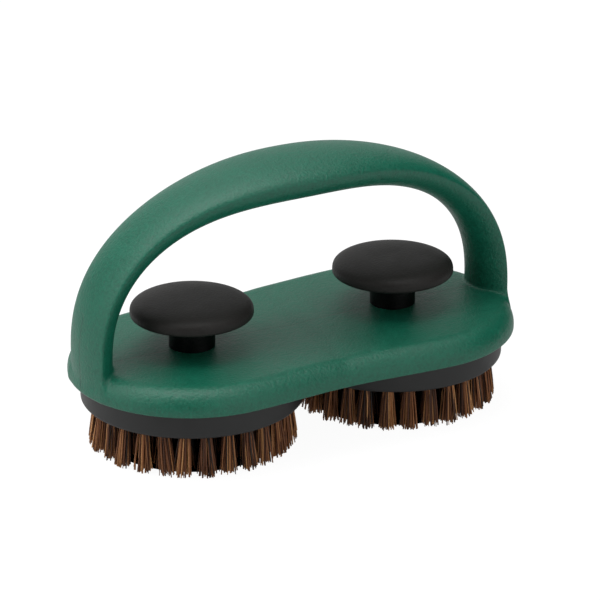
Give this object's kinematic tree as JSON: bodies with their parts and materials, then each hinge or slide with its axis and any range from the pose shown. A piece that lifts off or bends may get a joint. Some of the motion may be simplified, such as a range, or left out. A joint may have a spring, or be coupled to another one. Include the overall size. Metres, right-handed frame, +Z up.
{
  "type": "grill brush",
  "caption": "Scrubbing brush with an arch handle over a waisted deck that carries round fibre brush heads, each held by a mushroom knob.",
  "frame": {"origin": "on the surface that the bristle tips stand on, under the middle of the deck", "axes": "+X along the brush from the left head to the right head, +Y to the back, +Z up through the handle"},
  "size_m": [0.1932, 0.1, 0.1132],
  "materials": {
    "green_plastic": "satin moulded plastic, sea green, with a fine grain",
    "knob_plastic": "matt black moulded plastic",
    "block_plastic": "satin black moulded plastic",
    "zinc_steel": "zinc plated steel",
    "brass": "plain turned brass",
    "palm_fibre": "stiff brown palm fibre, tan to dark brown, in tufts"
  },
  "bodies": {
    "deck": {"handle_body": "green_plastic"},
    "left_knob": {"knob_left": "knob_plastic", "knob_stud_left": "zinc_steel"},
    "right_knob": {"knob_right": "knob_plastic", "knob_stud_right": "zinc_steel"},
    "left_head": {"brush_block_left": "block_plastic", "threaded_insert_left": "brass", "tufts_outer_left": "palm_fibre", "tufts_second_left": "palm_fibre", "tufts_third_left": "palm_fibre", "tufts_fourth_left": "palm_fibre", "tufts_centre_left": "palm_fibre"},
    "right_head": {"brush_block_right": "block_plastic", "threaded_insert_right": "brass", "tufts_outer_right": "palm_fibre", "tufts_second_right": "palm_fibre", "tufts_third_right": "palm_fibre", "tufts_fourth_right": "palm_fibre", "tufts_centre_right": "palm_fibre"}
  },
  "joints": [
    {"name": "knob_left_turn", "type": "hinge", "parent": "deck", "child": "left_knob", "pos_m": [-0.0465, 0, 0.0396], "axis": [0, 0, 1], "range_deg": [0, 2520]},
    {"name": "knob_right_turn", "type": "hinge", "parent": "deck", "child": "right_knob", "pos_m": [0.0465, 0, 0.0396], "axis": [0, 0, 1], "range_deg": [0, 2520]},
    {"name": "head_left_release", "type": "slide", "parent": "deck", "child": "left_head", "axis": [0, 0, -1], "range_m": [0, 0.00875]},
    {"name": "head_right_release", "type": "slide", "parent": "deck", "child": "right_head", "axis": [0, 0, -1], "range_m": [0, 0.00875]}
  ],
  "couplings": [
    {"joint": "knob_left_turn", "follows": "head_left_release", "rad_per_m": 5026.5},
    {"joint": "knob_right_turn", "follows": "head_right_release", "rad_per_m": 5026.5}
  ]
}
